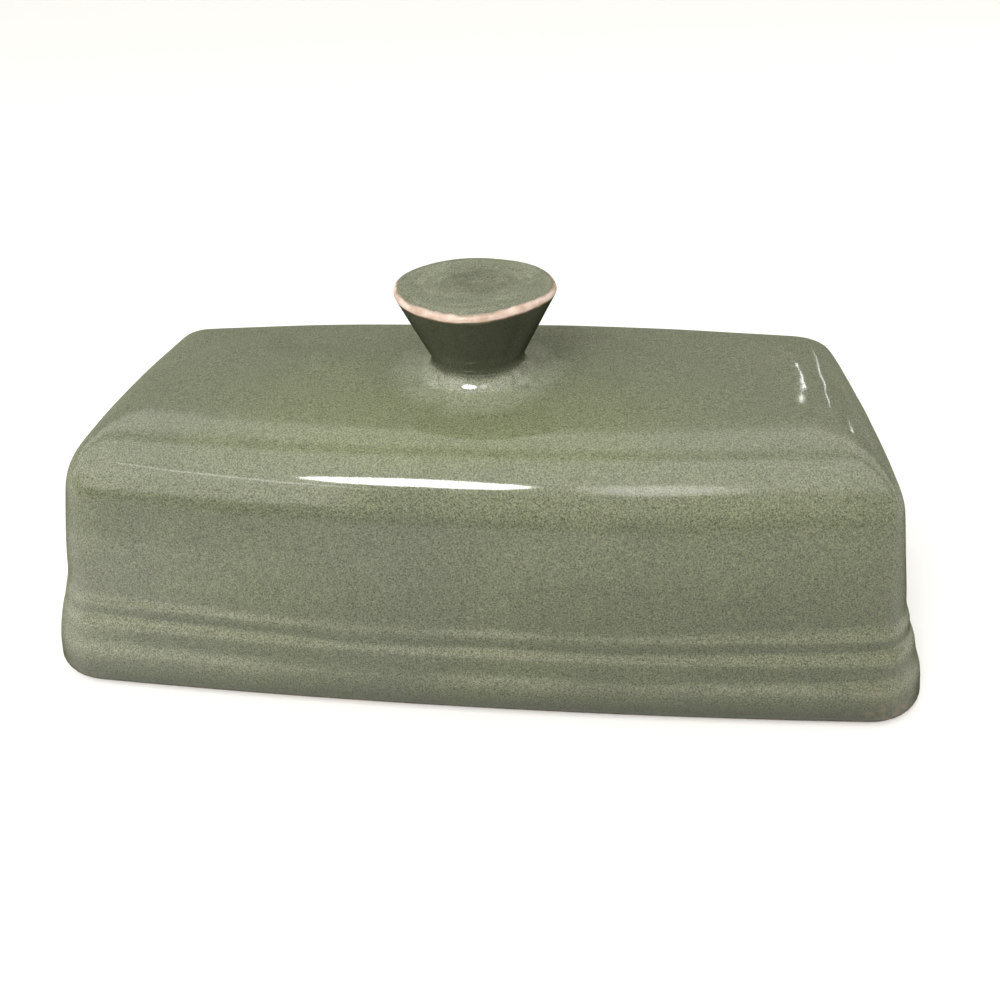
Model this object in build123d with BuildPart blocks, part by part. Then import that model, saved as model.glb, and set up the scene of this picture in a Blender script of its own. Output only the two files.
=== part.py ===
"""Covered butter dish in glazed stoneware: a cover with a luted knob, and a low tray that stands inside it.

Millimetres, +Z up. The origin is on the table, under the middle of the dish. X runs along the dish.
"""

from build123d import *
from math import cos, pi, radians, sin, tan
import os

# Driving dimensions of the cover
LENGTH = 181.0  # over the bowed ends, at the rim
WIDTH = 91.8  # over the bowed long sides, at the rim
HEIGHT = 53.0  # table to the flat top
WALL = 5.0  # thickness of the fired wall
LEAN = 13.0  # degrees by which the walls lean inwards
FLARE = 2.7  # extra reach of the skirt at the rim
FLARE_START = 5.0  # the skirt narrows to the wall above this height
FLARE_END = 23.0  # and is done here
WALL_MIDDLE = 32.0
TOP_RADIUS = 15.5  # rounding between wall and top
RIM_RADIUS = 2.4  # rounding of the rim that stands on the table
INNER_RIM_CHAMFER = 1.2

# Plan outline: the corners close up and the sides bow out further above the ribs than at the rim
CORNER_RADIUS = 11.5
CORNER_CLOSING = 0.5  # loss of corner radius for each millimetre that the outline shrinks
CORNER_LEAST = 3.5
LONG_BOW_RIM = 2.7
LONG_BOW_TOP = 6.0
END_BOW_RIM = 0.5
END_BOW_TOP = 1.2

# Three soft ribs round the skirt
RIB_CRESTS = (6.8, 13.6, 18.0)
RIB_HOLLOWS = (10.2, 15.8, 20.6)
RIB_RELIEF = 0.25  # how far a crest stands out and a hollow sinks in

# Knob, luted to a collar that is drawn up from the top of the cover
KNOB_RADIUS = 16.2
KNOB_TOP = HEIGHT + 18.6
KNOB_EDGE = 1.2  # bevel round the knob's top
KNOB_DISH = 0.7  # depth of the hollow in the knob's top
NECK_RADIUS = 9.2
NECK_HEIGHT = 3.6  # top of the collar above the top of the cover
COLLAR_RADIUS = 15.0
COLLAR_BITE = 1.0  # how deep the collar's disc reaches into the top, so that the two are one

# Tray
TRAY_HEIGHT = 11.0
TRAY_GAP = 1.8  # between the tray's edge and the inside of the cover
TRAY_FLARE = 4.5  # how much further the edge reaches than the underside
TRAY_FLOOR = 4.2
TRAY_EDGE = 3.8  # width of the raised edge, at its top
TRAY_EDGE_SLOPE = 2.5  # how much wider the raised edge is at the floor
FOOT_HEIGHT = 2.6
FOOT_WIDTH = 4.0
FOOT_INSET = 5.0  # from the underside's outline to the outside of the foot ring
PAD_INSET = 8.0  # from the raised edge to the pad that the butter lies on
PAD_HEIGHT = 0.9
TRAY_FILLET = 1.2

ARC_STEPS = 7  # bands along each rounded edge


def smooth_step(share):
    """Give 0 below 0, 1 above 1, and an S-shaped rise between."""
    held = min(max(share, 0.0), 1.0)
    return held * held * (3 - 2 * held)


def wall_inset(z):
    """How far the wall's outside lies inside the rim's outline at height z, leaving out the ribs."""
    narrowing = smooth_step((z - FLARE_START) / (FLARE_END - FLARE_START))
    return FLARE * narrowing + (z - RIM_RADIUS) * tan(radians(LEAN))


def outline(z, inset, plane_z=None):
    """Sketch the cover's plan outline at height z, inset from the rim's outline, on a plane at plane_z."""
    share = smooth_step(z / FLARE_END)
    long_bow = LONG_BOW_RIM + share * (LONG_BOW_TOP - LONG_BOW_RIM)
    end_bow = END_BOW_RIM + share * (END_BOW_TOP - END_BOW_RIM)
    x = LENGTH / 2 - END_BOW_RIM - inset
    y = WIDTH / 2 - LONG_BOW_RIM - inset
    with BuildSketch(Plane.XY.offset(z if plane_z is None else plane_z)) as plan:
        with BuildLine():
            ThreePointArc((-x, -y), (0, -y - long_bow), (x, -y))
            ThreePointArc((x, -y), (x + end_bow, 0), (x, y))
            ThreePointArc((x, y), (0, y + long_bow), (-x, y))
            ThreePointArc((-x, y), (-x - end_bow, 0), (-x, -y))
        make_face()
        fillet(plan.vertices(), max(CORNER_RADIUS - CORNER_CLOSING * inset, CORNER_LEAST))
    return plan.sketch


def rim_levels(radius, inset):
    """Heights and insets up the quarter round at a rim, from the table to the wall's side."""
    angles = [step * pi / 2 / ARC_STEPS for step in range(ARC_STEPS + 1)]
    return [(radius * (1 - cos(a)), inset + radius * (1 - sin(a))) for a in angles]


def shoulder_levels(radius, top, extra):
    """Heights and insets round the shoulder, from the leaning wall, inset by extra, to the flat top."""
    lean = radians(LEAN)
    angles = [lean + (pi / 2 - lean) * step / ARC_STEPS for step in range(ARC_STEPS + 1)]
    foot = wall_inset(top - radius + radius * sin(lean)) + extra
    return [(top - radius + radius * sin(a), foot + radius * (cos(lean) - cos(a))) for a in angles]


# Cover shell: the outside is lofted, the inside is lofted out of it, and the collar is turned
outside = rim_levels(RIM_RADIUS, 0.0)
outside += [(z, wall_inset(z) - RIB_RELIEF) for z in RIB_CRESTS]
outside += [(z, wall_inset(z) + RIB_RELIEF) for z in RIB_HOLLOWS]
outside += [(z, wall_inset(z)) for z in (FLARE_END, WALL_MIDDLE)]
outside += shoulder_levels(TOP_RADIUS, HEIGHT, 0.0)

inside = [(0.0, WALL - INNER_RIM_CHAMFER), (INNER_RIM_CHAMFER, WALL)]
inside += [(z, WALL + wall_inset(z)) for z in (FLARE_START, (FLARE_START + FLARE_END) / 2, FLARE_END)]
inside += shoulder_levels(TOP_RADIUS - WALL, HEIGHT - WALL, WALL)

with BuildPart() as cover_shell:
    loft([outline(level, inset) for level, inset in sorted(outside)], ruled=True)
    loft([outline(level, inset) for level, inset in sorted(inside)], ruled=True, mode=Mode.SUBTRACT)
    with BuildSketch(Plane.XZ) as collar:
        with BuildLine():
            Polyline(
                (0, HEIGHT + NECK_HEIGHT),
                (0, HEIGHT - COLLAR_BITE),
                (COLLAR_RADIUS, HEIGHT - COLLAR_BITE),
                (COLLAR_RADIUS, HEIGHT),
            )
            TangentArc((COLLAR_RADIUS, HEIGHT), (NECK_RADIUS, HEIGHT + NECK_HEIGHT), tangent=(-1, 0))
            Line((NECK_RADIUS, HEIGHT + NECK_HEIGHT), (0, HEIGHT + NECK_HEIGHT))
        make_face()
    revolve(axis=Axis.Z)

# Knob: a cone that widens upwards, with a worn edge and a shallow hollow in its top
with BuildPart() as cover_knob:
    with BuildSketch(Plane.XZ) as knob_profile:
        with BuildLine():
            Polyline(
                (0, KNOB_TOP - KNOB_DISH),
                (0, HEIGHT + NECK_HEIGHT),
                (NECK_RADIUS, HEIGHT + NECK_HEIGHT),
                (KNOB_RADIUS, KNOB_TOP - KNOB_EDGE),
                (KNOB_RADIUS - KNOB_EDGE, KNOB_TOP),
            )
            TangentArc((0, KNOB_TOP - KNOB_DISH), (KNOB_RADIUS - KNOB_EDGE, KNOB_TOP), tangent=(1, 0))
        make_face()
    revolve(axis=Axis.Z)

# Tray: a flared slab on a foot ring, with a raised edge and a low pad in the middle
edge_inset = WALL + wall_inset(TRAY_HEIGHT) + TRAY_GAP
under_inset = edge_inset + TRAY_FLARE
floor_top = FOOT_HEIGHT + TRAY_FLOOR
foot_inset = under_inset + FOOT_INSET
lip_inset = edge_inset + TRAY_EDGE
bed_inset = lip_inset + TRAY_EDGE_SLOPE

with BuildPart() as tray:
    loft([outline(0, under_inset, FOOT_HEIGHT), outline(0, edge_inset, TRAY_HEIGHT)])
    loft([outline(0, bed_inset, floor_top), outline(0, lip_inset, TRAY_HEIGHT)], mode=Mode.SUBTRACT)
    fillet(tray.faces().sort_by(Axis.Z)[-1].edges(), TRAY_FILLET)
    extrude(outline(0, bed_inset + PAD_INSET, floor_top), amount=PAD_HEIGHT)
    extrude(outline(0, foot_inset, FOOT_HEIGHT), amount=-FOOT_HEIGHT)
    extrude(outline(0, foot_inset + FOOT_WIDTH, FOOT_HEIGHT), amount=-FOOT_HEIGHT, mode=Mode.SUBTRACT)

os.makedirs("parts", exist_ok=True)
cover_shell.part.label = "cover_shell"
cover_knob.part.label = "cover_knob"
tray.part.label = "tray"
export_step(cover_shell.part, "parts/cover_shell.step")
export_step(cover_knob.part, "parts/cover_knob.step")
export_step(tray.part, "parts/tray.step")
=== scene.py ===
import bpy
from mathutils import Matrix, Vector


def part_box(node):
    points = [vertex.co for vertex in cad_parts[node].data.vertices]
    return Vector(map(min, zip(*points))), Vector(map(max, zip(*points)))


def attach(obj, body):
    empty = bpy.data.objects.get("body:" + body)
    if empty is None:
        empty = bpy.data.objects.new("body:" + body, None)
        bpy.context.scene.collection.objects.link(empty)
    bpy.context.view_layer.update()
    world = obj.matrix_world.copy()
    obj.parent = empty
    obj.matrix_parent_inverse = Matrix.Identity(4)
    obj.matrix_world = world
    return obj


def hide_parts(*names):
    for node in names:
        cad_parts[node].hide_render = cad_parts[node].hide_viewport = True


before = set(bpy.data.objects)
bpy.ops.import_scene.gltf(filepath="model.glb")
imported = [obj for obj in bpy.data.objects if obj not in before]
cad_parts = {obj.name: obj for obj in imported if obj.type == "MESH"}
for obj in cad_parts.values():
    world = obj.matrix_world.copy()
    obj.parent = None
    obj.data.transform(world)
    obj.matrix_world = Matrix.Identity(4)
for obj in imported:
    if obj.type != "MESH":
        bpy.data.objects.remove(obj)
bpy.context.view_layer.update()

# Looks of a covered butter dish in glazed stoneware. Metres, in the frame of the CAD model.
# The cover's shell, its knob and the tray are each rebuilt as a smooth closed mesh with the small
# unevenness of hand-finished ware, and take a procedural glaze that thins over edges and pools in hollows,
# with painted light and shade: lighter on level tops and rib slopes, darker under overhangs and by the rim.

from math import ceil, cos, pi, radians, sin, sqrt, tan

import bpy
import numpy as np
from mathutils import Matrix, Quaternion, Vector, noise

MM = 0.001

shell_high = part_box("cover_shell")[1]
knob_low, knob_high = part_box("cover_knob")
tray_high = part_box("tray")[1]

# ---------------------------------------------------------------- sizes

WALL = 5.0 * MM
RIM_RADIUS = 2.6 * MM
INNER_RIM = 1.2 * MM
SHOULDER_RADIUS = 16.0 * MM
DOME = 0.9 * MM  # rise of the cover's top towards its middle
DOME_AT_COLLAR = 0.8  # share of that rise at the foot of the collar
LONG_LEAN = radians(13.1)
END_LEAN = radians(12.0)
LONG_FLARE = 2.9 * MM
END_FLARE = 2.2 * MM
FLARE_START = 5.0 * MM
FLARE_END = 23.3 * MM
CORNER_RADIUS = 11.3 * MM
CORNER_CLOSING = 0.6  # loss of corner radius for each millimetre of inset
CORNER_LEAST = 3.0 * MM
LEFT_CORNER_EXTRA = 1.5 * MM  # the corners at the -X end are rounder
LONG_BOW_RIM = 2.3 * MM
FRONT_BOW_TOP = 6.1 * MM
BACK_BOW_TOP = 4.9 * MM
BACK_SET = 0.8 * MM  # how far the back stands out towards the top
END_BOW_RIM = 0.5 * MM
END_BOW_TOP = 1.2 * MM
CLEARANCE = 0.1 * MM  # kept inside the CAD model's box at the ends
SIDE_CLEARANCE = 0.45 * MM  # and along the bowed sides

NECK_RISE = 3.6 * MM  # from the cover's top to the joint with the knob
DECK_DROP = 0.8 * MM  # the edge of the top lies lower than its middle
deck = knob_low.z - NECK_RISE
shoulder_top = deck - DECK_DROP
half_length = shell_high.x - END_BOW_RIM - CLEARANCE
half_width = shell_high.y - LONG_BOW_RIM - SIDE_CLEARANCE

# Soft swells of the end walls: side, middle height, half-height and reach
END_SWELLS = (
    (-1, 30 * MM, 24 * MM, 1.1 * MM),
    (-1, 12 * MM, 10 * MM, 0.4 * MM),
    (1, 46 * MM, 30 * MM, 0.9 * MM),
)
END_SWELL_POWER = 6  # a swell falls off this steeply towards the middle of the dish

# The long sides swell too: middle height, half-height and reach
LONG_SWELL = (25 * MM, 22 * MM, 0.9 * MM)

# Ribs round the skirt: height of each crest, how far it stands out, and half its width; then the grooves
RIBS = (
    (6.8 * MM, 0.15 * MM, 1.9 * MM),
    (13.6 * MM, 0.24 * MM, 1.3 * MM),
    (18.0 * MM, 0.22 * MM, 1.1 * MM),
)
GROOVES = (
    (10.2 * MM, 0.20 * MM, 1.5 * MM),
    (15.8 * MM, 0.22 * MM, 0.9 * MM),
    (20.6 * MM, 0.10 * MM, 1.6 * MM),
)
RIBS_END = 23 * MM
RIBS_FADE = 6 * MM
RIB_WANDER = 0.7 * MM  # how far the ribs stray up and down
RIB_MEAN = 0.64  # share of their full relief in the middle of the dish
RIB_GAIN = 0.36  # more at the +X end, less at the -X end
RIB_UNEVEN = 0.5  # and more or less from place to place, between these limits
RIB_LIMITS = (0.2, 1.2)
RIB_END_LOSS = 0.5  # share lost round the ends
RIB_END_START = 0.84  # of the half-length
RIB_END_FADE = 0.12
USUAL_RELIEF = 0.2 * MM
USUAL_SLOPE = 0.16
LEAST_RISE = 0.001 * MM  # level rings are taken to rise by this much

# Unevenness of the surfaces: height, size and seed of each ripple
COVER_RIPPLES = ((0.28 * MM, 42 * MM, 1), (0.06 * MM, 13 * MM, 2))
COVER_SLACK = 0.1 * MM  # the uneven surface lies this much deeper on average
LUMPS = ((0.07 * MM, 10 * MM, 7), (0.04 * MM, 5 * MM, 8))  # more of it at the top of the +X end
INSIDE_RIPPLE = (0.2 * MM, 24 * MM, 21)
TRAY_RIPPLES = ((0.16 * MM, 36 * MM, 41), (0.05 * MM, 11 * MM, 42))

# How the glaze lies on the cover
BREAK_HEIGHT = 1.0 * MM  # it breaks along a line at this height
BREAK_REACH = 1.0 * MM
OLIVE_MIDDLE = (-4 * MM, -22 * MM)  # the patch that is yellower
OLIVE_REACH = (62 * MM, 34 * MM)

# The collar rises from the cover's top in two curves of (radius, rise), and goes on into the knob's side
COLLAR_FOOT = 14.0 * MM
CONE_SLOPE = radians(25.0)
NECK_RADIUS = 9.8 * MM
COLLAR_RISE = 4.6 * MM
COLLAR_HANDLE = 1.4 * MM
NECK_LAP = 0.3 * MM  # the collar and the knob reach into each other by this much
NECK_TUCK = NECK_LAP / 8  # keeps the collar's hidden rings inside the knob's side
NECK_CAP = 0.8  # radius of the last hidden ring, as a share of the neck's
COLLAR_WAIST = (10.54 * MM, 1.30 * MM)
COLLAR_CURVES = (
    ((COLLAR_FOOT, 0.0), (11.8 * MM, 0.0), (11.5 * MM, 0.08 * MM), COLLAR_WAIST),
    (
        COLLAR_WAIST,
        (9.7 * MM, 2.37 * MM),
        (NECK_RADIUS - COLLAR_HANDLE * sin(CONE_SLOPE), COLLAR_RISE - COLLAR_HANDLE * cos(CONE_SLOPE)),
        (NECK_RADIUS, COLLAR_RISE),
    ),
)
collar_base = shoulder_top + DOME_AT_COLLAR * DOME

KNOB_CLEARANCE = 0.3 * MM  # kept inside the CAD model's box
KNOB_EDGE = 1.4 * MM  # worn edge, on the side and on the top
KNOB_HOLLOW = 0.5 * MM
KNOB_DISC = 8.5 * MM  # radius of the shallow disc in the knob's top
KNOB_DISC_CENTRE = (0.6 * MM, 2.6 * MM)
KNOB_DISC_DEPTH = 0.16 * MM
KNOB_SQUARE = 0.38 * MM  # the knob's edge is a little square towards the front,
KNOB_WAVES = 0.12 * MM  # waves in and out six times round,
KNOB_SLACK = 0.14 * MM  # keeps this much within the full radius on average,
KNOB_TILT = 0.22 * MM  # and goes up and down twice round
SWIRL_DEPTH = 0.018 * MM  # faint turning marks on the knob's top, and the space between them
SWIRL_PITCH = 0.55 * MM
knob_bottom = collar_base + COLLAR_RISE
knob_top = knob_high.z - KNOB_CLEARANCE
knob_radius = knob_high.x - KNOB_CLEARANCE

TRAY_CORNER = 7.0 * MM
TRAY_FOOT = 2.6 * MM  # height of the foot ring
TRAY_BED = 6.8 * MM  # height of the bed
TRAY_PAD = 0.9 * MM  # rise of the pad in the middle of the bed

# Points round a plan outline, and steps along the profiles
LONG_POINTS = 84
END_POINTS = 38
CORNER_POINTS = 12
SHOULDER_STEPS = 26
RIM_STEPS = 8
INNER_RIM_STEPS = 4
DECK_STEPS = 36
COLLAR_STEPS = 12
WALL_STEP = 0.55 * MM
KNOB_POINTS = 192
CONE_STEPS = 32
KNOB_EDGE_STEPS = 12
KNOB_TOP_STEPS = 36
ARC_STEPS = 6
CEILING_SHARES = (0.85, 0.7, 0.55, 0.4, 0.25, 0.1)  # sizes of the ceiling's rings
BED_SHARES = (0.8, 0.6, 0.4, 0.2)  # and of the rings in the middle of the tray
NECK_RINGS = 3  # rings of the collar that the knob hides

# ---------------------------------------------------------------- plan outlines and profiles


def smooth_step(share):
    """0 below 0, 1 above 1, and an S-shaped rise between, for a number or an array."""
    held = np.clip(share, 0.0, 1.0)
    return held * held * (3 - 2 * held)


def fade_in(values, start, reach):
    """0 up to start, then a soft rise to 1 over the reach after it."""
    return smooth_step((values - start) / reach)


def fade_out(values, end, reach):
    """1 at first, then a soft fall to 0 over the reach before end."""
    return smooth_step((end - values) / reach)


def plan_ring(half_x, half_y, right, left, back_bow, front_bow, end_bow):
    """A closed plan outline, counter-clockwise, with bowed sides and a corner radius for each end."""
    arcs = []
    corners = ((1, 1, right), (-1, 1, left), (-1, -1, left), (1, -1, right))
    for turn, (sign_x, sign_y, radius) in enumerate(corners):
        angle = np.linspace(0, pi / 2, CORNER_POINTS) + turn * pi / 2
        x = sign_x * (half_x - radius) + radius * np.cos(angle)
        y = sign_y * (half_y - radius) + radius * np.sin(angle)
        arcs.append(np.c_[x, y])
    stretches = []
    for turn, arc in enumerate(arcs):
        count = END_POINTS if turn % 2 else LONG_POINTS
        share = np.linspace(0, 1, count + 2)[1:-1, None]
        stretches += [arc, arc[-1] * (1 - share) + arcs[(turn + 1) % 4][0] * share]
    ring = np.vstack(stretches)
    x = ring[:, 0].copy()
    y = ring[:, 1].copy()
    ring[:, 0] += end_bow * (1 - (y / half_y) ** 2) * x / half_x
    ring[:, 1] += np.where(y > 0, back_bow, front_bow) * (1 - (x / half_x) ** 2) * y / half_y
    return ring


def cover_ring(z, long_inset, end_inset):
    """The cover's outline at height z, inset from its widest line."""
    share = min(z / FLARE_END, 1.0)
    back_bow = LONG_BOW_RIM + share * (BACK_BOW_TOP - LONG_BOW_RIM)
    front_bow = LONG_BOW_RIM + share * (FRONT_BOW_TOP - LONG_BOW_RIM)
    end_bow = END_BOW_RIM + share * (END_BOW_TOP - END_BOW_RIM)
    closing = CORNER_RADIUS - CORNER_CLOSING * long_inset
    right, left = (max(closing + extra, CORNER_LEAST) for extra in (0, LEFT_CORNER_EXTRA))
    half_x = half_length - end_inset
    half_y = half_width - long_inset
    ring = plan_ring(half_x, half_y, right, left, back_bow, front_bow, end_bow)
    ring[:, 1] += BACK_SET * share * smooth_step(ring[:, 1] / half_width)
    middle, reach, swell = LONG_SWELL
    ring[:, 1] *= 1 + swell / half_width * smooth_step(1 - abs(z - middle) / reach)
    for side, middle, reach, swell in END_SWELLS:
        towards_end = np.clip(side * ring[:, 0] / half_length, 0, 1) ** END_SWELL_POWER
        ring[:, 0] += side * swell * smooth_step(1 - abs(z - middle) / reach) * towards_end
    return np.c_[ring, np.full(len(ring), z)]


def wall_inset(z, flare, lean):
    """How far the wall at height z lies inside the widest line, by the skirt's flare and the lean."""
    narrowing = fade_in(z, FLARE_START, FLARE_END - FLARE_START)
    return flare * narrowing + (z - RIM_RADIUS) * tan(lean)


def shoulder_inset(z, flare, lean, radius, top):
    """Inset of the wall, or above its end of the rounding that joins it to the top."""
    wall_end = top - radius * (1 - sin(lean))
    if z <= wall_end:
        return wall_inset(z, flare, lean)
    reach = sqrt(max(radius**2 - (z - top + radius) ** 2, 0.0))
    return wall_inset(wall_end, flare, lean) + radius * cos(lean) - reach


def side_levels(radius, top, start, extra):
    """Heights and insets from start up the wall and round the shoulder to the top's edge."""
    wall_end = top - radius * (1 - sin(END_LEAN))
    heights = list(np.linspace(start, wall_end, int(ceil((wall_end - start) / WALL_STEP))))
    for step in range(1, SHOULDER_STEPS + 1):
        heights.append(wall_end + (top - wall_end) * sin(step * pi / 2 / SHOULDER_STEPS))
    return [
        (
            z,
            extra + shoulder_inset(z, LONG_FLARE, LONG_LEAN, radius, top),
            extra + shoulder_inset(z, END_FLARE, END_LEAN, radius, top),
        )
        for z in heights
    ]


def rim_levels(radius, steps, inset, side):
    """Heights and insets round a rim from the table up; side is 1 on the outside and -1 on the inside."""
    levels = []
    for step in range(steps):
        angle = step * pi / 2 / steps
        at = inset + side * radius * (1 - sin(angle))
        levels.append((radius * (1 - cos(angle)), at, at))
    return levels


def bezier(p0, p1, p2, p3, count):
    """Points along a cubic curve, without its first point."""
    points = []
    for step in range(1, count + 1):
        t = step / count
        weights = ((1 - t) ** 3, 3 * t * (1 - t) ** 2, 3 * t**2 * (1 - t), t**3)
        weighted = list(zip(weights, (p0, p1, p2, p3)))
        points.append(tuple(sum(weight * point[axis] for weight, point in weighted) for axis in (0, 1)))
    return points


# ---------------------------------------------------------------- mesh building


def grid_normals(grid):
    """Unit normals of rings of points; they face outwards where the rings run downwards on the outside."""
    along = np.roll(grid, -1, axis=1) - np.roll(grid, 1, axis=1)
    down = np.empty_like(grid)
    down[1:-1] = grid[2:] - grid[:-2]
    down[0] = grid[1] - grid[0]
    down[-1] = grid[-1] - grid[-2]
    normals = np.cross(down, along)
    length = np.linalg.norm(normals, axis=2, keepdims=True)
    return normals / np.maximum(length, 1e-12)


def relax(grid, weight, rounds):
    """Soften a grid of rings: each point moves towards the mean of its neighbours by its ring's weight."""
    for _ in range(rounds):
        mean = (np.roll(grid, -1, axis=1) + np.roll(grid, 1, axis=1)) / 4
        mean[1:-1] += (grid[2:] + grid[:-2]) / 4
        mean[0] = grid[0]
        mean[-1] = grid[-1]
        grid = grid + weight[:, None, None] * (mean - grid)
    return grid


def ripple(points, size, seed):
    """Smooth noise between about -1 and 1 at each point, with features of the given size."""
    shift = Vector((seed * 7.31, seed * 3.17, seed * 5.53))
    values = [noise.noise(Vector(point) / size + shift) for point in points.reshape(-1, 3)]
    return np.array(values).reshape(points.shape[:-1])


def unevenness(points, ripples):
    """The sum of several ripples, each given by its height, size and seed."""
    return sum(height * ripple(points, size, seed) for height, size, seed in ripples)


def bare_below(grid, line, wander, fade, size, seed):
    """1 on the bare clay below a height that wanders, with a short fade to 0 above it."""
    return np.clip((line + wander * ripple(grid, size, seed) - grid[..., 2]) / fade, 0, 1)


# What each mask says of the surface: bare clay, painted light and shade on a rib, worn edge, pooled glaze
# with painted shade, painted haze, and glaze that is yellower
MASKS = ("bare", "painted_rib_shading", "edge", "pool_and_shade", "painted_haze", "olive")


def closed_mesh(name, grid, masks):
    """A closed mesh from rings of points, with a middle point at each end, and its masks as attributes."""
    rings, count = grid.shape[:2]
    verts = np.vstack([grid.reshape(-1, 3), grid[0].mean(axis=0), grid[-1].mean(axis=0)])
    first = rings * count
    last = first + 1
    base = first - count
    faces = []
    for i in range(count):
        j = (i + 1) % count
        faces.append((first, j, i))
        faces.append((last, base + i, base + j))
        for start in range(0, base, count):
            faces.append((start + i, start + j, start + count + j, start + count + i))
    mesh = bpy.data.meshes.new(name)
    mesh.from_pydata(verts.tolist(), [], faces)
    for mask in MASKS:
        attribute = mesh.attributes.new(mask, "FLOAT", "POINT")
        values = masks.get(mask, np.zeros((rings, count)))
        flat = np.concatenate([values.reshape(-1), [values[0].mean(), values[-1].mean()]])
        attribute.data.foreach_set("value", flat.astype(np.float32))
    mesh.polygons.foreach_set("use_smooth", [True] * len(mesh.polygons))
    mesh.update()
    if sum(face.center.dot(face.normal) * face.area for face in mesh.polygons) < 0:
        mesh.flip_normals()
    piece = bpy.data.objects.new(name, mesh)
    bpy.context.scene.collection.objects.link(piece)
    return piece


# ---------------------------------------------------------------- cover shell


def rib_relief(points, side_noise):
    """How far the ribs and grooves move the skirt's surface outwards, and the painted light and shade on
    them:
    1 for painted light on an upper slope, -1 for painted shade under a crest."""
    x = points[..., 0]
    z = points[..., 2]
    wander = RIB_WANDER * side_noise
    strength = np.clip(RIB_MEAN + RIB_GAIN * x / half_length + RIB_UNEVEN * side_noise, *RIB_LIMITS)
    relief = np.zeros(z.shape)
    for centre, height, width in RIBS:
        relief += height * np.exp(-(((z - centre - wander) / width) ** 2))
    for centre, depth, width in GROOVES:
        relief -= depth * np.exp(-(((z - centre - wander) / width) ** 2))
    relief *= strength * (1 - fade_in(z, RIBS_END, RIBS_FADE))
    relief *= 1 - RIB_END_LOSS * fade_in(np.abs(x) / half_length, RIB_END_START, RIB_END_FADE)
    rise = np.gradient(z, axis=0)
    slope = -np.gradient(relief, axis=0) / np.where(np.abs(rise) < LEAST_RISE, LEAST_RISE, rise)
    rib_light_and_shade = np.clip(0.35 * relief / USUAL_RELIEF + 0.8 * slope / USUAL_SLOPE, -1, 1)
    return relief, rib_light_and_shade * (z < RIBS_END + RIBS_FADE)


def top_rings(edge):
    """The cover's top, from the shoulder's end in to the collar, and up the collar to the neck."""
    reach = np.hypot(edge[:, 0], edge[:, 1])
    direction = edge[:, :2] / reach[:, None]
    half_x = edge[:, 0].max()
    half_y = edge[:, 1].max()
    rings = []
    for step in range(1, DECK_STEPS + 1):
        flat = direction * (reach + (COLLAR_FOOT - reach) * step / DECK_STEPS)[:, None]
        lift = DOME * (1 - (flat[:, 0] / half_x) ** 2) * (1 - (flat[:, 1] / half_y) ** 2)
        rings.append(np.c_[flat, shoulder_top + np.maximum(lift, 0)])
    foot = rings[-1][:, 2]
    for curve in COLLAR_CURVES:
        for radius, rise in bezier(*curve, COLLAR_STEPS):
            share = rise / COLLAR_RISE
            rings.append(np.c_[direction * radius, foot * (1 - share) + collar_base * share + rise])
    level = np.full(len(edge), knob_bottom)
    for rise in (0.5 * NECK_LAP, NECK_LAP):
        radius = NECK_RADIUS + (rise - NECK_TUCK) * tan(CONE_SLOPE)
        rings.append(np.c_[direction * radius, level + rise])
    rings.append(np.c_[direction * NECK_CAP * NECK_RADIUS, level + NECK_LAP])
    return np.array(rings)


def shell_outside():
    """Rings of the cover's outside from the neck down to the rim, and the painted light and shade on its
    ribs.
    """
    levels = rim_levels(RIM_RADIUS, RIM_STEPS, 0.0, 1)
    levels += side_levels(SHOULDER_RADIUS, shoulder_top, RIM_RADIUS, 0.0)
    sides = np.array([cover_ring(*level) for level in levels])
    grid = np.vstack([sides, top_rings(sides[-1])])[::-1]

    # Soften the shoulder and the corners, not the ribs, the rim or the collar
    weight = 0.5 * fade_in(grid[..., 2].mean(axis=1), RIBS_END, 12 * MM)
    weight[: len(COLLAR_CURVES) * COLLAR_STEPS + NECK_RINGS] = 0.0
    grid = relax(grid, weight, rounds=6)

    # The unevenness dies out towards the rim and the neck: the cover stands level and meets the knob
    around = grid * (1, 1, 0)
    rib, painted_rib_shading = rib_relief(grid, ripple(around, 34 * MM, 3))
    x, y, z = np.moveaxis(grid, 2, 0)
    from_neck = np.clip((np.hypot(x, y) - 10 * MM) / (8 * MM), 0, 1)
    steady = fade_in(z, 4 * MM, 10 * MM) * from_neck
    at_lumps = fade_in(x / half_length, 0.55, 0.25) * fade_in(z, 40 * MM, 8 * MM)
    wobble = unevenness(grid, COVER_RIPPLES) - COVER_SLACK + at_lumps * unevenness(grid, LUMPS)
    grid = grid + grid_normals(grid) * (rib + wobble * steady)[..., None]
    grid[..., 2] = np.maximum(grid[..., 2], 0.0)
    return grid, painted_rib_shading


def shell_inside():
    """Rings of the cover's inside from the rim's underside up to the ceiling."""
    levels = rim_levels(INNER_RIM, INNER_RIM_STEPS, WALL, -1)
    levels += side_levels(SHOULDER_RADIUS - WALL, shoulder_top - WALL, INNER_RIM, WALL)[::2]
    rings = [cover_ring(*level) for level in levels]
    rings += [rings[-1] * (share, share, 1) for share in CEILING_SHARES]
    grid = np.array(rings)
    steady = fade_in(grid[..., 2], 0.0, 12 * MM)
    return grid + grid_normals(grid) * (unevenness(grid, (INSIDE_RIPPLE,)) * steady)[..., None]


def painted_haze_share(x, y, z, streak):
    """Painted haze, a paler sheen: in streaks round the collar, and a little on the lower wall towards -X.
    """
    round_collar = smooth_step((20 * MM - np.hypot(x, y)) / (8 * MM) + 0.35 * streak)
    low_left = fade_in(-x / half_length, 0.1, 1.0) * fade_out(z, 34 * MM, 3 * MM)
    return np.maximum(round_collar, 0.3 * low_left)


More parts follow.
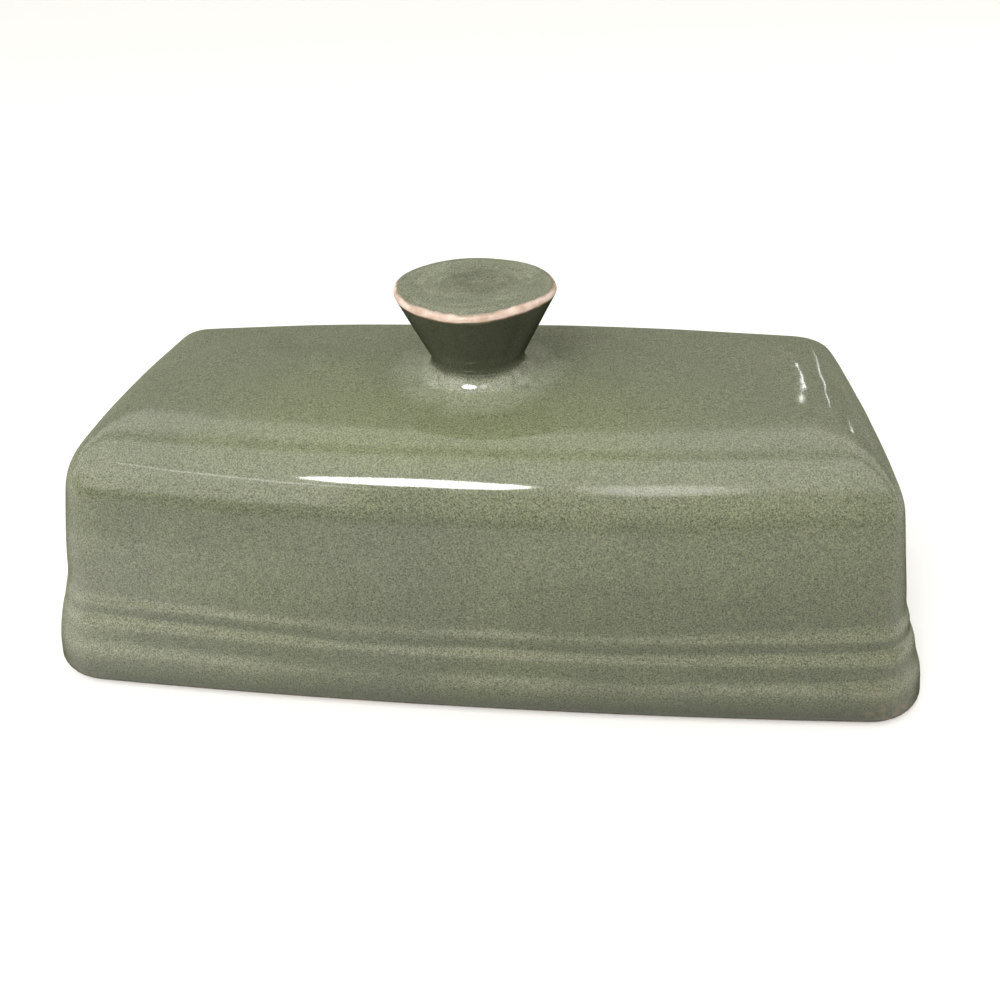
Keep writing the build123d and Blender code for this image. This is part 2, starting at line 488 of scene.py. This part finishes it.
def painted_shade_on_cover(x, z, streak):
    """Painted shade under the knob's overhang, just above the rim where the cover meets the floor, and a
    little on the lower wall towards +X.
    """
    under_knob = smooth_step((z - collar_base - 1.6 * MM + 0.8 * MM * streak) / (2.4 * MM))
    low_right = fade_in(x / half_length, -0.4, 1.0) * fade_out(z, 38 * MM, 12 * MM)
    above_rim = smooth_step(1 - z / (9 * MM))
    return np.maximum(0.7 * under_knob, 0.2 * low_right + 0.8 * above_rim)


def broken_glaze_and_rim_shade(x, y, z):
    """Brown where the glaze breaks: along a line just above the rim, which also stands for painted shade
    where the cover meets the floor, and faintly down the corners.
    """
    above_rim = smooth_step(1.3 - np.abs(z - BREAK_HEIGHT) / BREAK_REACH)
    squareness = sum(np.abs(along) / np.abs(along).max(axis=1, keepdims=True) for along in (x, y))
    corners = fade_in(squareness, 1.72, 0.16) * fade_in(np.hypot(x, y), 60 * MM, 12 * MM)
    return np.maximum(0.2 * corners, 0.22 * above_rim)


def olive_glaze(points):
    """Yellower in a wide patch on the front of the top."""
    x, y, _ = np.moveaxis(points, 2, 0)
    from_middle = np.hypot((x - OLIVE_MIDDLE[0]) / OLIVE_REACH[0], (y - OLIVE_MIDDLE[1]) / OLIVE_REACH[1])
    return smooth_step(1.15 - from_middle + 0.2 * ripple(points, 16 * MM, 32))


def build_shell():
    """The cover's shell: its outside from the neck down to the rim, and its inside up to the ceiling."""
    outside, painted_rib_shading = shell_outside()
    inside = shell_inside()
    grid = np.vstack([outside, inside])
    x, y, z = np.moveaxis(outside, 2, 0)
    streak = ripple(outside * (1, 1, 0), 5 * MM, 31)
    pool_and_shade = painted_shade_on_cover(x, z, streak)
    on_outside = {
        "painted_rib_shading": painted_rib_shading,
        "painted_haze": painted_haze_share(x, y, z, streak) * (1 - pool_and_shade),
        "pool_and_shade": pool_and_shade,
        "edge": broken_glaze_and_rim_shade(x, y, z),
        "olive": olive_glaze(outside),
    }
    on_inside = np.zeros(inside.shape[:2])
    masks = {name: np.vstack([values, on_inside]) for name, values in on_outside.items()}
    masks["bare"] = bare_below(grid, 0.8 * MM, 0.5 * MM, 0.6 * MM, 6 * MM, 5)
    return closed_mesh("glazed_cover", grid, masks)


# ---------------------------------------------------------------- knob


def knob_profile():
    """Radii and heights up the knob from its hidden underside over the edge to the middle of its top."""
    side_top = knob_top - KNOB_EDGE
    profile = [(share * NECK_RADIUS, knob_bottom - NECK_LAP) for share in (0.25, 0.5, 0.75)]
    profile.append((NECK_RADIUS - NECK_LAP * tan(CONE_SLOPE), knob_bottom - NECK_LAP))
    for step in range(CONE_STEPS + 1):
        share = step / CONE_STEPS
        radius = NECK_RADIUS + (knob_radius - NECK_RADIUS) * share
        profile.append((radius, knob_bottom + (side_top - knob_bottom) * share))
    profile += bezier(
        (knob_radius, side_top),
        (knob_radius + 0.3 * MM, side_top + 0.6 * MM),
        (knob_radius - 0.2 * MM, knob_top),
        (knob_radius - KNOB_EDGE, knob_top),
        KNOB_EDGE_STEPS,
    )
    for step in range(1, KNOB_TOP_STEPS):
        share = step / KNOB_TOP_STEPS
        reach = (knob_radius - KNOB_EDGE) * (1 - share)
        profile.append((reach, knob_top - KNOB_HOLLOW * smooth_step(share * 1.5)))
    return np.array(profile)


def knob_wear(profile, angles, height, grid):
    """The worn glaze runs along the edge, wider towards the front, and its borders wander."""
    along = np.concatenate([[0], np.cumsum(np.hypot(*np.diff(profile, axis=0).T))])
    from_edge = np.abs(along - along[np.argmax(profile[:, 0])] - 0.35 * MM)[:, None]
    from_edge = from_edge * (1 - 0.4 * smooth_step(1 + (height - knob_top) / (0.8 * MM)))
    wander = unevenness(grid, ((0.36 * MM, 4.5 * MM, 12), (0.14 * MM, 1.5 * MM, 13)))
    width = (0.60 - 0.20 * np.sin(angles)) * MM
    return np.clip(1.40 - (from_edge + wander) / width, 0, 1)


def knob_painted_shade(profile, angles, reach, height, grid):
    """Painted shade on the knob's overhanging side, a little less at its foot and towards -X, where the
    light falls.
    """
    below_edge = np.arange(len(profile)) < np.argmax(profile[:, 0])
    side = fade_out(reach, knob_radius * 1.02, 0.5 * MM) * below_edge[:, None]
    side *= 1 - 0.3 * smooth_step(1 - (height - knob_bottom) / (4 * MM) + 0.4 * ripple(grid, 4 * MM, 16))
    return side * (1 - 0.25 * smooth_step(0.5 - 0.5 * np.cos(angles)))


def knob_streaks(angles, reach, grid):
    """Streaks that run round the knob's top."""
    turn = 5 * MM * np.stack([np.cos(angles), np.sin(angles)], axis=-1) + 0 * grid[..., :2]
    return smooth_step(2.5 * ripple(np.dstack([turn, 2.2 * reach]), 4 * MM, 15))


def build_knob():
    """The flared knob: its side goes on from the collar's slope, its edge is uneven, its top hollow."""
    profile = knob_profile()
    angles = np.linspace(0, 2 * pi, KNOB_POINTS, endpoint=False)
    reach = profile[:, 0][:, None] + 0 * angles
    height = profile[:, 1][:, None] + 0 * angles
    outward = np.clip((height - knob_bottom) / (knob_top - knob_bottom), 0, 1) * reach / knob_radius
    square = KNOB_SQUARE * np.cos(4 * angles) * (1 - np.sin(angles)) / 2
    reach += (square + KNOB_WAVES * np.cos(6 * angles + 0.5 * pi) - KNOB_SLACK) * outward**2
    height += KNOB_TILT * np.cos(2 * angles + 0.6) * outward**2
    grid = np.stack([reach * np.cos(angles), reach * np.sin(angles), height], axis=2)

    on_top = smooth_step((height - knob_top + KNOB_EDGE + KNOB_HOLLOW) / (0.6 * MM))
    from_disc = np.hypot(grid[..., 0] - KNOB_DISC_CENTRE[0], grid[..., 1] - KNOB_DISC_CENTRE[1])
    disc = smooth_step((KNOB_DISC - from_disc + 0.8 * MM * ripple(grid, 5 * MM, 14)) / (2.8 * MM)) * on_top
    grid[..., 2] -= KNOB_DISC_DEPTH * disc
    swirl = np.sin(reach / SWIRL_PITCH - 1.4 * angles) * on_top * (1 - outward**8)
    grid[..., 2] += SWIRL_DEPTH * swirl
    grid -= grid_normals(grid) * (unevenness(grid, ((0.05 * MM, 5 * MM, 11),)) * outward)[..., None]

    masks = {
        "edge": knob_wear(profile, angles, height, grid),
        # Painted shade on the knob's overhanging side; the disc in its top holds pooled glaze
        "pool_and_shade": np.maximum(knob_painted_shade(profile, angles, reach, height, grid), 0.25 * disc),
        # Painted haze lightens the knob's top, in streaks
        "painted_haze": on_top * (0.3 + 0.4 * knob_streaks(angles, reach, grid)),
    }
    return closed_mesh("glazed_knob", grid, masks)


# ---------------------------------------------------------------- tray


def tray_ring(z, inset):
    """The tray's outline at height z, inset from its widest line."""
    half_x = tray_high.x - END_BOW_RIM - CLEARANCE - inset
    half_y = tray_high.y - LONG_BOW_RIM - CLEARANCE - inset
    corner = max(TRAY_CORNER - 0.5 * inset, CORNER_LEAST)
    ring = plan_ring(half_x, half_y, corner, corner, LONG_BOW_RIM, LONG_BOW_RIM, END_BOW_RIM)
    return np.c_[ring, np.full(len(ring), z)]


def rounded_path(corners, spacing):
    """Points along a path of (height, inset, rounding) corners: arcs at the corners, even steps between."""
    ends = []
    for before, (height, inset, rounding), after in zip(corners, corners[1:], corners[2:]):
        here = np.array((height, inset))
        back = np.array(before[:2]) - here
        on = np.array(after[:2]) - here
        start = here + back / np.linalg.norm(back) * rounding
        end = here + on / np.linalg.norm(on) * rounding
        shares = np.linspace(0, 1, ARC_STEPS)[:, None]
        ends.append(start * (1 - shares) ** 2 + 2 * here * shares * (1 - shares) + end * shares**2)
    path = [np.array(corners[0][:2])[None, :]]
    for arc in ends + [np.array(corners[-1][:2])[None, :]]:
        gap = arc[0] - path[-1][-1]
        steps = max(int(ceil(np.linalg.norm(gap) / spacing)), 1)
        shares = np.arange(1, steps)[:, None] / steps
        path.append(path[-1][-1] + gap * shares)
        path.append(arc)
        path = [stretch for stretch in path if len(stretch)]
    return np.vstack(path)


def build_tray():
    """A flared slab on a foot ring, with a raised edge and a low pad that the butter lies on."""
    top = tray_high.z
    path = rounded_path(
        (
            (TRAY_FOOT, 22 * MM, 0.0),
            (TRAY_FOOT, 13.5 * MM, 0.7 * MM),
            (0.0, 12.6 * MM, 0.7 * MM),
            (0.0, 9.8 * MM, 0.8 * MM),
            (TRAY_FOOT, 9.2 * MM, 0.8 * MM),
            (TRAY_FOOT, 4.8 * MM, 1.6 * MM),
            (top - 2.2 * MM, 0.2 * MM, 1.4 * MM),
            (top, 0.2 * MM, 1.3 * MM),
            (top, 3.4 * MM, 1.3 * MM),
            (TRAY_BED, 6.8 * MM, 2.2 * MM),
            (TRAY_BED, 13.6 * MM, 1.0 * MM),
            (TRAY_BED + TRAY_PAD, 14.8 * MM, 0.9 * MM),
            (TRAY_BED + TRAY_PAD, 22 * MM, 0.0),
        ),
        0.9 * MM,
    )
    rings = [tray_ring(*level) for level in path]
    rings = [rings[0] * (share, share, 1) for share in BED_SHARES[::-1]] + rings
    rings += [rings[-1] * (share, share, 1) for share in BED_SHARES]
    grid = np.array(rings)
    steady = fade_in(grid[..., 2], 0.6 * MM, 2 * MM)
    grid = grid + grid_normals(grid) * (unevenness(grid, TRAY_RIPPLES) * steady)[..., None]
    grid[..., 2] = np.clip(grid[..., 2], 0.0, top)
    crown = grid[..., 2] - top + 0.55 * MM + 0.35 * MM * ripple(grid, 7 * MM, 44)
    corner = smooth_step(1 - np.abs(grid[..., 2] - TRAY_BED) / (0.9 * MM))
    masks = {
        "bare": bare_below(grid, 0.5 * MM, 0.4 * MM, 0.4 * MM, 5 * MM, 43),
        "edge": np.clip(0.5 * crown / (0.5 * MM), 0, 0.42),
        # The bed's inner corner is made darker
        "pool_and_shade": 0.25 * corner,
    }
    return closed_mesh("glazed_tray", grid, masks)


# ---------------------------------------------------------------- materials


def add_node(tree, kind, inputs=None, **settings):
    """A shader node with its settings; an input is a value, or another node's output to link."""
    made = tree.nodes.new(kind)
    for name, value in settings.items():
        setattr(made, name, value)
    for name, value in (inputs or {}).items():
        if isinstance(value, bpy.types.NodeSocket):
            tree.links.new(value, made.inputs[name])
        else:
            made.inputs[name].default_value = value
    return made


def add_noise(tree, place, size, detail=2.0, roughness=0.5, distortion=0.0):
    """Noise with features of the given size in metres."""
    inputs = {"Vector": place, "Scale": 1 / size, "Detail": detail}
    inputs |= {"Roughness": roughness, "Distortion": distortion}
    return add_node(tree, "ShaderNodeTexNoise", inputs).outputs["Fac"]


def add_range(tree, value, low, high, to_low=0.0, to_high=1.0, soft=False):
    """Map low to to_low and high to to_high, held there outside, in a straight line or a soft S."""
    inputs = {"Value": value, "From Min": low, "From Max": high, "To Min": to_low, "To Max": to_high}
    kind = "SMOOTHSTEP" if soft else "LINEAR"
    return add_node(tree, "ShaderNodeMapRange", inputs, interpolation_type=kind).outputs["Result"]


def add_math(tree, operation, first, *others):
    """The values joined one after another by the same operation."""
    for other in others:
        first = add_node(tree, "ShaderNodeMath", {0: first, 1: other}, operation=operation).outputs["Value"]
    return first


def add_mix(tree, share, first, second, blend="MIX"):
    """The second colour over the first one, by its share."""
    inputs = {0: share, 6: first, 7: second}
    return add_node(tree, "ShaderNodeMix", inputs, data_type="RGBA", blend_type=blend).outputs[2]


# Colours of the glaze, as shares of the light that they return. On upright surfaces, and on level ones
# painted lighter for the light from above:
SAGE = (0.098, 0.110, 0.061, 1)
GREY_SAGE = (0.094, 0.104, 0.064, 1)
OLIVE = (0.102, 0.117, 0.058, 1)
FLAT_GLAZE_PAINTED_LIGHT = (0.167, 0.180, 0.123, 1)
FLAT_OLIVE_PAINTED_LIGHT = (0.183, 0.208, 0.117, 1)
# Painted light and shade: on the ribs' upper slopes, a sheen on the rounding between wall and top, haze
# round the collar, shade under the ribs, and pooled glaze darkened as painted shade:
RIB_PAINTED_LIGHT = (0.240, 0.240, 0.172, 1)
SHOULDER_PAINTED_SHEEN = (0.235, 0.252, 0.168, 1)
HAZE_PAINTED_SHEEN = (0.42, 0.44, 0.33, 1)
RIB_PAINTED_SHADE = (0.062, 0.070, 0.039, 1)
POOLED_GLAZE_AND_SHADE = (0.031, 0.034, 0.020, 1)
# Where it is worn, and the clay itself, kept dark also as painted shade along the rim:
BROWN_EDGE = (0.16, 0.105, 0.065, 1)
WORN_EDGE = (0.68, 0.54, 0.46, 1)
TAN_EDGE = (0.48, 0.34, 0.26, 1)
BARE_CLAY_AND_RIM_SHADE = (0.19, 0.13, 0.085, 1)

# Sizes of the patterns in the glaze
BROAD_SIZE = 52 * MM
PATCH_SIZE = 17 * MM
SWELL_SIZE = 5 * MM
WEAR_SIZE = 3 * MM
MOTTLE_SIZE = 1.5 * MM
GRAIN_SIZE = 0.30 * MM
BUMP_DEPTH = 0.05 * MM


def mask_value(tree, name):
    return add_node(tree, "ShaderNodeAttribute", attribute_name=name).outputs["Fac"]


def glaze_layers(tree, up, broad, patch, pool_and_shade):
    """The glaze's colour before its grain, with painted light and shade: by the surface's slope, then
    painted haze, on the ribs, and pooled glaze with painted shade.
    """
    # Random tones on the walls; painted light makes level surfaces lighter, with a yellower patch at the
    # front
    colour = add_mix(tree, add_range(tree, broad, 0.4, 0.6), GREY_SAGE, SAGE)
    colour = add_mix(tree, add_range(tree, patch, 0.5, 0.72, 0.0, 0.5), colour, OLIVE)
    flat = add_mix(tree, mask_value(tree, "olive"), FLAT_GLAZE_PAINTED_LIGHT, FLAT_OLIVE_PAINTED_LIGHT)
    colour = add_mix(tree, add_range(tree, up, 0.55, 0.95, 0.0, 0.9, soft=True), colour, flat)

    # Painted sheen: a paler band over the rounding between wall and top, around the highlight
    leaving_wall = add_range(tree, up, 0.22, 0.50, soft=True)
    below_top = add_range(tree, up, 0.96, 0.62, 0.0, 0.44, soft=True)
    colour = add_mix(tree, add_math(tree, "MULTIPLY", leaving_wall, below_top), colour, SHOULDER_PAINTED_SHEEN)

    painted_haze = add_math(tree, "MULTIPLY", mask_value(tree, "painted_haze"), 0.36)
    colour = add_mix(tree, painted_haze, colour, HAZE_PAINTED_SHEEN)
    # Painted light on the ribs' upper slopes, painted shade under their crests
    uneven = add_range(tree, patch, 0.3, 0.7, -0.35, 0.35)
    painted_rib_shading = add_math(tree, "ADD", mask_value(tree, "painted_rib_shading"), uneven)
    colour = add_mix(tree, add_range(tree, painted_rib_shading, 0.1, 1.0, 0.0, 0.32), colour, RIB_PAINTED_LIGHT)
    colour = add_mix(tree, add_range(tree, painted_rib_shading, -0.1, -1.0, 0.0, 0.50), colour, RIB_PAINTED_SHADE)
    return add_mix(tree, add_range(tree, pool_and_shade, 0.0, 1.0, 0.0, 0.95), colour, POOLED_GLAZE_AND_SHADE)


def add_grain(tree, colour, up, mottle, grain, pool_and_shade):
    """Vary the colour by a mottle, and by a fine grain that is weaker on the top, in pooled glaze and in
    painted shade.
    """
    speckle = add_math(
        tree,
        "MULTIPLY",
        add_range(tree, grain, 0.32, 0.68, -0.42, 0.42),
        add_range(tree, up, 0.3, 0.9, 1.55, 1.1),
        add_range(tree, pool_and_shade, 0.3, 1.0, 1.0, 0.3),
    )
    light = add_math(tree, "ADD", add_range(tree, mottle, 0.3, 0.7, 0.90, 1.06), speckle)
    shade = add_node(tree, "ShaderNodeCombineColor", {"Red": light, "Green": light, "Blue": light})
    return add_mix(tree, 1.0, colour, shade.outputs["Color"], "MULTIPLY")


def add_wear(tree, colour, place, mottle, pool_and_shade):
    """The worn edges: a brown border, then pale and tan clay."""
    uneven = add_range(tree, mottle, 0.3, 0.7, -0.12, 0.12)
    edge = add_math(tree, "ADD", mask_value(tree, "edge"), uneven)
    in_pool_or_shade = add_range(tree, pool_and_shade, 0.0, 0.6, 0.3, 1.0)
    border = add_math(tree, "MULTIPLY", add_range(tree, edge, 0.12, 0.42), in_pool_or_shade)
    colour = add_mix(tree, border, colour, BROWN_EDGE)
    tan_share = add_range(tree, add_noise(tree, place, WEAR_SIZE, 3.0), 0.42, 0.62)
    worn = add_mix(tree, tan_share, WORN_EDGE, TAN_EDGE)
    return add_mix(tree, add_range(tree, edge, 0.40, 0.85), colour, worn)


def set_gloss(tree, shader, patch, bare):
    """A clear glossy coat over a soft base; bare clay has none, and it is weaker at grazing angles."""
    rough = add_range(tree, patch, 0.3, 0.7, 0.30, 0.42)
    rough = add_math(tree, "MAXIMUM", rough, add_range(tree, bare, 0.2, 0.8, 0.0, 0.85))
    tree.links.new(rough, shader.inputs["Roughness"])
    grazing = add_node(tree, "ShaderNodeLayerWeight", {"Blend": 0.5}).outputs["Facing"]
    gloss = add_math(
        tree,
        "MULTIPLY",
        add_range(tree, bare, 0.3, 0.8, 1.0, 0.0),
        add_range(tree, grazing, 0.4, 0.85, 1.0, 0.06, soft=True),
    )
    tree.links.new(gloss, shader.inputs["Coat Weight"])
    shader.inputs["Specular IOR Level"].default_value = 0.0
    shader.inputs["Coat Roughness"].default_value = 0.06
    shader.inputs["Coat IOR"].default_value = 1.5


def set_bump(tree, shader, place, mottle, grain):
    """Fine relief of the surface, for the base and the coat alike."""
    relief = add_math(
        tree,
        "ADD",
        add_noise(tree, place, SWELL_SIZE, 2.0),
        add_range(tree, mottle, 0.0, 1.0, 0.0, 0.22),
        add_range(tree, grain, 0.0, 1.0, 0.0, 0.08),
    )
    bump = add_node(tree, "ShaderNodeBump", {"Strength": 0.35, "Distance": BUMP_DEPTH, "Height": relief})
    tree.links.new(bump.outputs["Normal"], shader.inputs["Normal"])
    tree.links.new(bump.outputs["Normal"], shader.inputs["Coat Normal"])


def glaze_material():
    """Sage glaze over tan stoneware: mottled and worn at edges, with painted light on level tops and rib
    slopes and painted shade under overhangs and by the rim.
    """
    material = bpy.data.materials.new("sage_glaze")
    material.use_nodes = True
    tree = material.node_tree
    shader = tree.nodes["Principled BSDF"]
    coordinates = add_node(tree, "ShaderNodeTexCoord").outputs
    place = coordinates["Object"]
    up = add_node(tree, "ShaderNodeSeparateXYZ", {"Vector": coordinates["Normal"]}).outputs["Z"]
    broad = add_noise(tree, place, BROAD_SIZE, 2.0)
    patch = add_noise(tree, place, PATCH_SIZE, 3.0, distortion=0.4)
    mottle = add_noise(tree, place, MOTTLE_SIZE, 3.0, 0.6)
    grain = add_noise(tree, place, GRAIN_SIZE, 2.0, 0.7)
    pool_and_shade = mask_value(tree, "pool_and_shade")
    bare = mask_value(tree, "bare")

    colour = glaze_layers(tree, up, broad, patch, pool_and_shade)
    colour = add_grain(tree, colour, up, mottle, grain, pool_and_shade)
    colour = add_wear(tree, colour, place, mottle, pool_and_shade)
    colour = add_mix(tree, bare, colour, BARE_CLAY_AND_RIM_SHADE)
    tree.links.new(colour, shader.inputs["Base Color"])
    set_gloss(tree, shader, patch, bare)
    set_bump(tree, shader, place, mottle, grain)
    return material


glaze = glaze_material()
for piece, body, node, slot in (
    (build_shell(), "cover", "cover_shell", "cover_glaze"),
    (build_knob(), "cover", "cover_knob", "knob_glaze"),
    (build_tray(), "tray", "tray", "tray_glaze"),
):
    piece.data.materials.append(glaze)
    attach(piece, body)
    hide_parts(node)

# ---------------------------------------------------------------- camera, light and floor

CAMERA_AZIMUTH = radians(6.93)
CAMERA_ELEVATION = radians(34.8)
CAMERA_ROLL = radians(-2.08)
CAMERA_DISTANCE = 192.25 * MM
CAMERA_AIM = Vector((3.7, -2.15, 21.3)) * MM
CAMERA_LENS = 30.6  # millimetres, for a sensor 36 mm wide
SENSOR_WIDTH = 36.0
LIGHTS_AIM = Vector((0, 0, 45)) * MM
FLOOR_REACH = 3.0
FLOOR_COLOUR = (0.93, 0.925, 0.91, 1)
ROOM_COLOUR = (1.0, 0.98, 0.94, 1)
BACKDROP_STRENGTH = 0.92


def direction_to(azimuth, elevation):
    """Unit vector from the object towards a place at that azimuth and elevation; azimuth 0 is at -Y."""
    return Vector((sin(azimuth) * cos(elevation), -cos(azimuth) * cos(elevation), sin(elevation)))


def add_camera():
    """The camera, turned a little about its own axis."""
    data = bpy.data.cameras.new("camera")
    data.sensor_width = SENSOR_WIDTH
    data.lens = CAMERA_LENS
    data.clip_start = 0.01
    camera = bpy.data.objects.new("camera", data)
    bpy.context.scene.collection.objects.link(camera)
    back = direction_to(CAMERA_AZIMUTH, CAMERA_ELEVATION)
    right = Vector((0, 0, 1)).cross(back).normalized()
    up = back.cross(right)
    turned_right = right * cos(CAMERA_ROLL) + up * sin(CAMERA_ROLL)
    turned_up = up * cos(CAMERA_ROLL) - right * sin(CAMERA_ROLL)
    turn = Matrix((turned_right, turned_up, back)).transposed().to_4x4()
    camera.matrix_world = Matrix.Translation(CAMERA_AIM + back * CAMERA_DISTANCE) @ turn
    bpy.context.scene.camera = camera


def add_softbox(name, azimuth, elevation, distance, width, height, power, roll=0.0):
    """An oval light that faces the dish: angles in degrees, sizes in metres, power in watts."""
    data = bpy.data.lights.new(name, "AREA")
    data.shape = "ELLIPSE"
    data.size = width
    data.size_y = height
    data.energy = power
    light = bpy.data.objects.new(name, data)
    bpy.context.scene.collection.objects.link(light)
    towards = direction_to(radians(azimuth), radians(elevation))
    light.location = LIGHTS_AIM + towards * distance
    facing = towards.to_track_quat("Z", "Y") @ Quaternion((0, 0, 1), radians(roll))
    light.rotation_euler = facing.to_euler()


def add_floor():
    mesh = bpy.data.meshes.new("floor")
    corners = [(x * FLOOR_REACH, y * FLOOR_REACH, 0) for x, y in ((-1, -1), (1, -1), (1, 1), (-1, 1))]
    mesh.from_pydata(corners, [], [(0, 1, 2, 3)])
    floor = bpy.data.objects.new("floor", mesh)
    bpy.context.scene.collection.objects.link(floor)
    material = bpy.data.materials.new("floor")
    material.use_nodes = True
    shader = material.node_tree.nodes["Principled BSDF"]
    shader.inputs["Base Color"].default_value = FLOOR_COLOUR
    shader.inputs["Roughness"].default_value = 0.9
    shader.inputs["Specular IOR Level"].default_value = 0.2
    mesh.materials.append(material)


def add_band(tree, turn, start, full, fade, end, strength=1.0):
    """A soft band of light across the room: turns in degrees from the horizon in front, up and over."""
    rise = add_range(tree, turn, radians(start), radians(full), soft=True)
    fall = add_range(tree, turn, radians(end), radians(fade), 0.0, strength, soft=True)
    return add_math(tree, "MULTIPLY", rise, fall)


def add_spot(tree, towards, azimuth, elevation, inner, outer, strength):
    """A round patch of light: full within the inner angle from its middle, gone at the outer one."""
    middle = direction_to(radians(azimuth), radians(elevation))
    inputs = {0: towards, 1: middle}
    near = add_node(tree, "ShaderNodeVectorMath", inputs, operation="DOT_PRODUCT").outputs["Value"]
    return add_range(tree, near, cos(radians(outer)), cos(radians(inner)), 0.0, strength, soft=True)


def room_light(tree, towards):
    """A dim room with a wide soft panel from in front to overhead and a weaker one beyond it, a window
    low at the front left, a glow at the front right and a round lamp between; it is plain below."""
    axes = add_node(tree, "ShaderNodeSeparateXYZ", {"Vector": towards}).outputs
    turn = add_math(tree, "ARCTAN2", axes["Z"], add_math(tree, "MULTIPLY", axes["Y"], -1.0))
    panel = add_math(
        tree,
        "MULTIPLY",
        add_band(tree, turn, 31, 56, 83, 93),
        add_range(tree, axes["X"], 0.97, 0.75, 0.0, 1.5, soft=True),
    )
    behind = add_band(tree, turn, 95, 110, 125, 145, 1.2)
    window = add_math(
        tree,
        "MULTIPLY",
        add_band(tree, turn, 10, 18, 40, 52),
        add_range(tree, axes["X"], -0.30, -0.40, soft=True),
        add_range(tree, axes["X"], -0.97, -0.72, 0.0, 1.5, soft=True),
    )
    right = add_math(
        tree,
        "MULTIPLY",
        add_band(tree, turn, -2, 2, 40, 52),
        add_range(tree, axes["X"], -0.20, 0.20, 0.0, 0.10, soft=True),
    )
    lamp = add_spot(tree, towards, 17, 46, 2, 9, 4.4)
    low = add_range(tree, axes["Z"], 0.2, 0.02, 0.2, 0.45, soft=True)
    below = add_range(tree, axes["Z"], 0.0, -0.02, 0.0, 0.45)
    return add_math(tree, "ADD", low, below, panel, window, right, behind, lamp)


def add_world():
    """The room's light as the glaze sees it; the camera sees a plain pale backdrop from every side."""
    world = bpy.data.worlds.new("studio")
    world.use_nodes = True
    tree = world.node_tree
    towards = add_node(tree, "ShaderNodeTexCoord").outputs["Generated"]
    seen = add_node(tree, "ShaderNodeLightPath").outputs["Is Camera Ray"]
    strength = add_range(tree, seen, 0.0, 1.0, room_light(tree, towards), BACKDROP_STRENGTH)
    background = tree.nodes["Background"]
    background.inputs["Color"].default_value = ROOM_COLOUR
    tree.links.new(strength, background.inputs["Strength"])
    bpy.context.scene.world = world


add_camera()
add_world()
# Name, azimuth, elevation, distance, width, height, power
add_softbox("key", -18, 45.5, 0.9, 0.40, 0.16, 3.8, roll=9)
add_softbox("rod", -40, 36, 0.9, 0.50, 0.025, 0.13)
add_softbox("lamp", 159.4, 24.6, 1.0, 0.008, 0.015, 0.008)
add_softbox("glint", 142.5, 13, 1.2, 0.02, 0.07, 0.03)
add_softbox("strip", 151, 14, 1.2, 0.012, 0.30, 0.08)
add_floor()
bpy.context.scene.view_settings.view_transform = "Standard"
